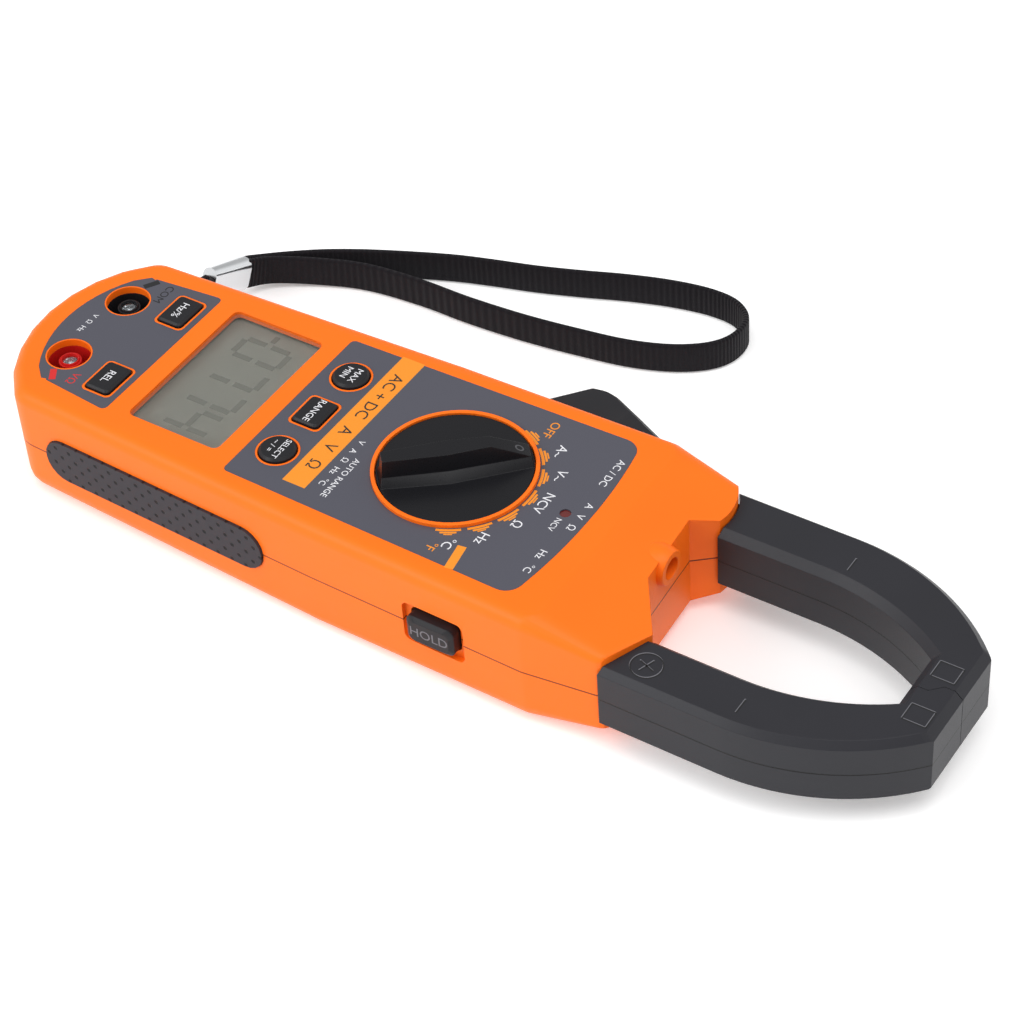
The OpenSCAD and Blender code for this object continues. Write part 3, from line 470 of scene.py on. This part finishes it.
def crystal_cell():
    """The cell: grey-green, its tone uneven over 20 mm, under a satin polariser."""
    material, tree, out = new_material("liquid_crystal_cell")
    spot = place(tree)
    cloud = add(tree, "TexNoise", {"Vector": spot, "Scale": 0.05, "Detail": 2})
    tone = add(tree, "Mix", {"Factor": cloud.outputs["Fac"], "A": linear("#a3a49a"),
                             "B": linear("#aeafa6")}, data_type="RGBA")
    skin = add(tree, "BsdfPrincipled", {"Base Color": tone.outputs["Result"], "Roughness": 0.4})
    tree.links.new(skin.outputs[0], out.inputs[0])
    return material


finished("lcd_window", clear_window())
finished("lcd_glass", crystal_cell())
finished("lcd_backlight", matt_colour("diffusing_white_acrylic", "#e9e9e4"))

SEGMENTS = {"0": "abcdef", "7": "abc", "4": "bcfg"}
BARS = {"a": (0, 7.6, 5.6, 1.8), "b": (3.6, 3.9, 1.8, 6), "c": (3.6, -3.9, 1.8, 6),
        "d": (0, -7.6, 5.6, 1.8), "e": (-3.6, -3.9, 1.8, 6), "f": (-3.6, 3.9, 1.8, 6),
        "g": (0, 0, 5.6, 1.8)}
CELL_TOP = 33.36
FIRST_DIGIT = Vector((-15.8, -75.2))
DIGIT_PITCH = 10.4
digits = []
for i, sign in enumerate("0774"):
    for letter in SEGMENTS[sign]:
        x, y, w, h = BARS[letter]
        digits.append((FIRST_DIGIT.x + DIGIT_PITCH * i + x, FIRST_DIGIT.y + y, w, h, 0))
digits.append((-22.4, FIRST_DIGIT.y, 2.8, 1.6, 0))
bars("display_digits", digits, matt_colour("darkened_crystal", "#65665f"), top=CELL_TOP)

# Knob and its switch.
# Moulded in black ABS: a flat disc flush in its ring, with a tall grip bar across it. The
# switch's acetal rotor and stamped brass wipers turn with it inside.
black_abs = moulded_plastic("moulded_black_abs", "#1a1a1d", "#151518", False, 0.3, 0.28)
knob = moulded("dial_knob", "dial", black_abs)
finished("switch_rotor", matt_colour("moulded_white_acetal", "#e9e6df"))
finished("switch_wipers", drawn_metal("stamped_brass", "#c9a24a", 0.25))

# Keys.
# Moulded in black ABS with pad-printed white symbols; each sits in an orange rimmed well.
key_abs = moulded_plastic("moulded_key_abs", "#222225", "#1c1c1f", False, 0.3, 0.4)
for node in ("select_key", "range_key", "max_min_key", "relative_key", "hertz_key", "hold_key"):
    moulded(node, node.replace("_key", ""), key_abs)


def key_print(words, cap, name, body, x, y, top):
    """Small white print on a key's cap, which moves with the key."""
    shape = lettering([(w, x, y + dy) for w, dy in words], cap, white_ink, name, body)
    shape.data.transform(Matrix.Translation((0, 0, (top - FACE) * MM)))


key_print([("SELECT", 1.3), ("~ / =", -1.5)], 1.7, "select_print", "select", 17, -45.3, 37.7)
key_print([("MAX", 1.5), ("MIN", -1.5)], 1.9, "max_min_print", "max_min", -17, -45.3, 37.7)
key_print([("RANGE", 0)], 2.0, "range_print", "range", 0, -45.3, 37.6)
key_print([("REL", 0)], 2.2, "relative_print", "relative", 16.2, -103.2, 37.6)
key_print([("Hz/%", 0)], 2.2, "hertz_print", "hertz", -16.2, -103.2, 37.6)
hold_turn = (Matrix.Translation((40.65 * MM, 17.2 * MM, 18.25 * MM))
             @ Matrix.Rotation(math.radians(90), 4, "Z") @ Matrix.Rotation(math.radians(90), 4, "X"))
lettering([("HOLD", 0, 0)], 3.0, pale_ink, "hold_print", "hold", hold_turn)

# Side grips.
# Black-brown thermoplastic rubber, set into the sides, with small dimples moulded 3.4 mm apart
# in slanting rows.


def dimpled_rubber():
    """TPE: matt, slightly brown, with round dimples 1.6 mm wide at the rim, their pits coloured near
    black as painted shade.
    """
    material, tree, out = new_material("dimpled_tpe_rubber")
    spot = place(tree)
    parts = add(tree, "SeparateXYZ", {"Vector": spot})
    rise = add(tree, "Math", {0: parts.outputs["Z"], 1: 2.7}, operation="DIVIDE").outputs[0]
    row = add(tree, "Math", {0: rise}, operation="FLOOR").outputs[0]
    shift = add(tree, "Math", {0: row, 1: 2.0, 2: parts.outputs["Y"]}, operation="MULTIPLY_ADD")
    run = add(tree, "Math", {0: shift.outputs[0], 1: 4.8}, operation="DIVIDE").outputs[0]
    within = []
    for share, pitch in ((run, 4.8), (rise, 2.7)):
        part = add(tree, "Math", {0: share}, operation="FRACT").outputs[0]
        part = add(tree, "Math", {0: part, 1: 0.5}, operation="SUBTRACT").outputs[0]
        within.append(add(tree, "Math", {0: part, 1: pitch}, operation="MULTIPLY").outputs[0])
    centre = add(tree, "CombineXYZ", {"X": within[0], "Y": within[1]})
    reach = add(tree, "VectorMath", {0: centre.outputs[0]}, operation="LENGTH")
    pit_depth_and_shade = add(tree, "MapRange", {"Value": reach.outputs["Value"], "From Min": 0.4,
                                    "From Max": 0.8}, interpolation_type="SMOOTHSTEP")
    grain = add(tree, "TexNoise", {"Vector": spot, "Scale": 3, "Detail": 3})
    # The pits are coloured near black: painted shade in the dimples. The same mask also sets their
    # bump.
    tone = add(tree, "Mix", {"Factor": pit_depth_and_shade.outputs[0], "A": linear("#0e0d0f"),
                             "B": linear("#343136")}, data_type="RGBA")
    pits = add(tree, "Bump", {"Height": pit_depth_and_shade.outputs[0], "Strength": 0.8, "Distance": 0.0004})
    skin_grain = add(tree, "Bump", {"Height": grain.outputs["Fac"], "Strength": 0.2,
                                    "Distance": 0.0001, "Normal": pits.outputs[0]})
    skin = add(tree, "BsdfPrincipled", {"Base Color": tone.outputs["Result"], "Roughness": 0.6,
                                        "Specular IOR Level": 0.25,
                                        "Normal": skin_grain.outputs[0]})
    tree.links.new(skin.outputs[0], out.inputs[0])
    return material


tpe = dimpled_rubber()
moulded("left_grip", "case", tpe)
moulded("right_grip", "case", tpe)

# Jacks.
# Two shrouded 4 mm jacks, black and red, each with a turned brass contact in its post.
jack_black = moulded_plastic("moulded_black_polyamide", "#232326", "#1c1c1f", False, 0.3, 0.35)
jack_red = moulded_plastic("moulded_red_polyamide", "#d3231f", "#b91a18", False, 0.3, 0.35)
moulded("com_jack", "case", jack_black)
moulded("input_jack", "case", jack_red)


def turned(name, profile, at, axis="Z"):
    """A round piece: its profile of (radius, height) turned once about its axis."""
    shape = bmesh.new()
    points = [shape.verts.new((r * MM, 0, z * MM)) for r, z in profile]
    edges = [shape.edges.new(pair) for pair in zip(points, points[1:] + points[:1])]
    bmesh.ops.spin(shape, geom=points + edges, cent=(0, 0, 0), axis=(0, 0, 1),
                   angle=math.tau, steps=48, use_merge=True)
    bmesh.ops.remove_doubles(shape, verts=shape.verts, dist=1e-7)
    bmesh.ops.recalc_face_normals(shape, faces=shape.faces)
    if axis == "Y":
        bmesh.ops.rotate(shape, verts=shape.verts, cent=(0, 0, 0),
                         matrix=Matrix.Rotation(math.radians(-90), 3, "X"))
    bmesh.ops.translate(shape, verts=shape.verts, vec=[c * MM for c in at])
    for edge in shape.edges:
        edge.smooth = edge.calc_face_angle(0) < math.radians(35)
    for face in shape.faces:
        face.smooth = True
    mesh = bpy.data.meshes.new(name)
    shape.to_mesh(mesh)
    shape.free()
    piece = bpy.data.objects.new(name, mesh)
    bpy.context.collection.objects.link(piece)
    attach(piece, "case")
    return piece


JACK = Vector((13.2, -119.6, 0))
SLEEVE = [(2, 10), (2.7, 10), (2.7, 33.6), (2.2, 33.6), (2, 33.3)]
LIP = [(2.15, 33.6), (2.69, 33.6), (2.69, 34.6), (2.5, 34.9), (2.3, 34.9), (2.15, 34.6)]
for side, jack, lip_plastic in ((-1, "com", jack_black), (1, "input", jack_red)):
    sleeve = turned(jack + "_sleeve", SLEEVE, (JACK.x * side, JACK.y, 0))
    sleeve.data.materials.append(nickel)
    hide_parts(jack + "_contact")
    lip = turned(jack + "_lip", LIP, (JACK.x * side, JACK.y, 0))
    lip.data.materials.append(lip_plastic)
red_ink = matt_colour("red_screen_ink", "#d01f1f")
black_ink = matt_colour("black_screen_ink", "#17171a")
bars("com_bar", [(-22.3, -118.2, 1.9, 4.6, 58)], black_ink)
bars("input_bar", [(22.1, -118.1, 1.9, 4.4, -58)], red_ink)
lettering([("COM", -20.4, -112.4)], 2.4, black_ink, "com_symbol")
lettering([("VΩ", 20.8, -112.2)], 2.4, red_ink, "input_symbol")
lettering([("V  Ω  Hz", 0, -123.6)], 1.6, white_ink, "jack_functions")

# Lamps.
# A dark red lens in the face and a clear one in the crotch between the jaws.


def cast_lens(name, colour, roughness):
    """A cast epoxy lamp: tinted, its tone uneven over 1.2 mm, under a glossy skin."""
    material, tree, out = new_material(name)
    cloud = add(tree, "TexNoise", {"Vector": place(tree), "Scale": 0.8, "Detail": 1})
    tone = add(tree, "Mix", {"Factor": cloud.outputs["Fac"], "A": linear(colour),
                             "B": [c * 0.6 for c in linear(colour)[:3]] + [1]}, data_type="RGBA")
    skin = add(tree, "BsdfPrincipled", {"Base Color": tone.outputs["Result"],
                                        "Roughness": roughness, "Coat Weight": 0.6,
                                        "Coat Roughness": 0.05})
    tree.links.new(skin.outputs[0], out.inputs[0])
    return material


finished("ncv_led", cast_lens("red_epoxy_lens", "#6a0f0a", 0.12))
finished("torch_led", cast_lens("clear_epoxy_lens", "#d9c9b8", 0.2))

# Hood over the torch.
# Moulded with the case: a blunt dome that swells out of the slope and ends in the torch's mouth.
hood = turned("torch_hood", [(3.1, 63.8), (4.7, 63.8), (5, 63.4), (5.5, 61.5), (5.7, 59.5),
                             (5.4, 57.5), (4.5, 55.8), (3.3, 55), (3.1, 60)], (-3, 0, 28.5), "Y")
hood.data.materials.append(door_abs)

# Pointer mark.
# A small ring pressed into the top of the knob's grip, near its pointed end. It is laid on the
# sloping top by dropping each of its points onto the knob.
POINTER = (-11.5, 12.9, 0)
ring = bmesh.new()
flat_band(ring, POINTER, (0.75, 1.15), 0, math.tau, 24)
for point in ring.verts:
    found, landing, normal, index = knob.ray_cast((point.co.x, point.co.y, 0.1), (0, 0, -1))
    point.co = landing + Vector((0, 0, 0.03 * MM))
print_piece("pointer_ring", ring, matt_colour("pressed_ring", "#4c4c50"), "dial")

# Jaws and lever.
# Glass-filled black polyamide shells around an iron core; the trigger, the lever and the moving
# jaw swing as one about a steel pin.
jaw_plastic = moulded_plastic("moulded_glass_filled_polyamide", "#2e2e33", "#28282c", True, 0.4, 0.4)
lever_plastic = moulded_plastic("moulded_lever_polyamide", "#29292c", "#232326", False, 0.4, 0.45)
moulded("fixed_jaw_front", "case", jaw_plastic)
moulded("fixed_jaw_back", "case", jaw_plastic)
moulded("moving_jaw_front", "moving_jaw", jaw_plastic)
moulded("moving_jaw_back", "moving_jaw", jaw_plastic)
moulded("jaw_lever", "moving_jaw", lever_plastic)
JAW_TOP = 28.75


def jaw_marks(name, body, spots, z, ink, rings=()):
    """Fine grooves in a jaw's face, drawn as flat lines in the given ink, painted shade for a groove
    and painted highlight for its lit edge: straight ones, and rings 0.35 mm wide.
    """
    shape = bmesh.new()
    for x, y, w, h, angle in spots:
        made = bmesh.ops.create_grid(shape, x_segments=1, y_segments=1, size=0.5)
        bmesh.ops.scale(shape, verts=made["verts"], vec=(w * MM, h * MM, 1))
        bmesh.ops.rotate(shape, verts=made["verts"], cent=(0, 0, 0),
                         matrix=Matrix.Rotation(math.radians(angle), 3, "Z"))
        bmesh.ops.translate(shape, verts=made["verts"], vec=(x * MM, y * MM, z * MM))
    for x, y, r in rings:
        flat_band(shape, (x, y, z), (r, r + 0.35), 0, math.tau, 32)
    return print_piece(name, shape, ink, body)


def frame_of(x, y, w, h):
    """The four lines of an outlined box, 0.35 mm wide."""
    return [(x, y - h / 2, w, 0.35, 0), (x, y + h / 2, w, 0.35, 0), (x - w / 2, y, 0.35, h, 0),
            (x + w / 2, y, 0.35, h, 0)]


# Each jaw groove is drawn twice: a near-black line of painted shade, and under it a grey copy set
# 0.22 mm towards -x and -y, a painted highlight along the groove's lit edge.
lit_edge = matt_colour("lit_groove_edge", "#68686e")
for ink, off, word in ((lit_edge, 0.22, "edges"), (groove_shade_ink, 0, "grooves")):
    top_of = JAW_TOP + 0.01 if off else JAW_TOP + 0.02
    jaw_marks("fixed_jaw_" + word, "case",
              [(30.2 - off, 102.75 - off, 5, 0.4, 0), (29.9 - off, 76 - off, 5, 0.4, 70),
               (29.9 - off, 76 - off, 5, 0.4, -20)]
              + frame_of(11.6 - off, 141.4 - off, 5.6, 6.4), top_of, ink,
              [(29.9 - off, 76 - off, 4)])
    jaw_marks("moving_jaw_" + word, "moving_jaw", [(-26.4 - off, 103.15 - off, 5, 0.4, 0)]
              + frame_of(-4.5 - off, 141 - off, 5.6, 6.4), top_of, ink)
iron = drawn_metal("sintered_iron", "#7d8085", 0.45)
finished("fixed_core", iron)
finished("moving_core", iron)

# Inside.
# A glass-epoxy board with its switches and buzzer, and a nine volt battery on its snap.


def glass_epoxy():
    """Green solder mask over copper tracks, which show as paler lines 1 and 2 mm apart."""
    material, tree, out = new_material("glass_epoxy_board")
    spot = place(tree)
    tracks = add(tree, "TexBrick", {"Vector": spot, "Color1": linear("#1f5a38"),
                                    "Color2": linear("#256642"), "Mortar": linear("#3c8a5c"),
                                    "Scale": 0.25, "Mortar Size": 0.02})
    skin = add(tree, "BsdfPrincipled", {"Base Color": tracks.outputs["Color"], "Roughness": 0.35})
    tree.links.new(skin.outputs[0], out.inputs[0])
    return material


board = glass_epoxy()
finished("main_board", board)
finished("hall_sensor", board)
part_black = moulded_plastic("moulded_component_black", "#2a2b2d", "#222325", False, 0.4, 0.5)
for node in ("tact_switches", "hold_switch", "buzzer", "battery_snap"):
    finished(node, part_black)
finished("battery", drawn_metal("lacquered_tinplate", "#3c4a6b", 0.4))

# Studio.
# A white paper sweep, a large softbox overhead and a smaller one off the jack end's right; the
# surroundings are white, with two greyer cards that the black pieces mirror.
floor = bpy.data.objects.new("floor", bpy.data.meshes.new("floor"))
bpy.context.collection.objects.link(floor)
ground = bmesh.new()
bmesh.ops.create_grid(ground, x_segments=1, y_segments=1, size=4)
bmesh.ops.translate(ground, verts=ground.verts, vec=(0, 0, -0.0002))
ground.to_mesh(floor.data)
ground.free()
sweep, tree, out = new_material("white_paper_sweep")
paper = add(tree, "TexNoise", {"Vector": place(tree), "Scale": 0.4, "Detail": 2})
tone = add(tree, "Mix", {"Factor": paper.outputs["Fac"], "A": linear("#f4f4f4"),
                         "B": linear("#f7f7f7")}, data_type="RGBA")
matt = add(tree, "BsdfPrincipled", {"Base Color": tone.outputs["Result"], "Roughness": 0.9,
                                    "Specular IOR Level": 0.1, "Emission Strength": 0.25,
                                    "Emission Color": (1, 1, 1, 1)})
tree.links.new(matt.outputs[0], out.inputs[0])
floor.data.materials.append(sweep)

world = bpy.data.worlds.new("studio")
world.use_nodes = True
sky = world.node_tree
towards = add(sky, "TexCoord").outputs["Generated"]
card = add(sky, "VectorMath", {0: towards, 1: (-0.60, -0.43, 0.68)}, operation="DOT_PRODUCT")
card = add(sky, "MapRange", {"Value": card.outputs["Value"], "From Min": 0.55, "From Max": 0.9,
                             "To Min": 1.05, "To Max": 0.55}, interpolation_type="SMOOTHSTEP")
behind = add(sky, "VectorMath", {0: towards, 1: (0.74, 0.64, 0.2)}, operation="DOT_PRODUCT")
behind = add(sky, "MapRange", {"Value": behind.outputs["Value"], "From Min": 0.5, "From Max": 0.9,
                               "To Min": 1, "To Max": 0.3}, interpolation_type="SMOOTHSTEP")
both = add(sky, "Math", {0: card.outputs[0], 1: behind.outputs[0]}, operation="MULTIPLY")
sky.links.new(both.outputs[0], sky.nodes["Background"].inputs["Strength"])
sky.nodes["Background"].inputs["Color"].default_value = (1, 1, 1, 1)
bpy.context.scene.world = world


def softbox(name, at, size, power):
    """A flat light of that size in metres, turned towards the meter."""
    lamp = bpy.data.lights.new(name, "AREA")
    lamp.shape = "RECTANGLE"
    lamp.size, lamp.size_y = size
    lamp.energy = power
    box = bpy.data.objects.new(name, lamp)
    bpy.context.collection.objects.link(box)
    box.location = at
    box.rotation_euler = (-Vector(at)).to_track_quat("-Z", "Y").to_euler()


softbox("overhead", (0.25, 0.35, 1.3), (1.0, 0.8), 7)
softbox("side", (1.0, -0.66, 0.86), (0.8, 0.6), 7)
bpy.context.scene.view_settings.view_transform = "Standard"
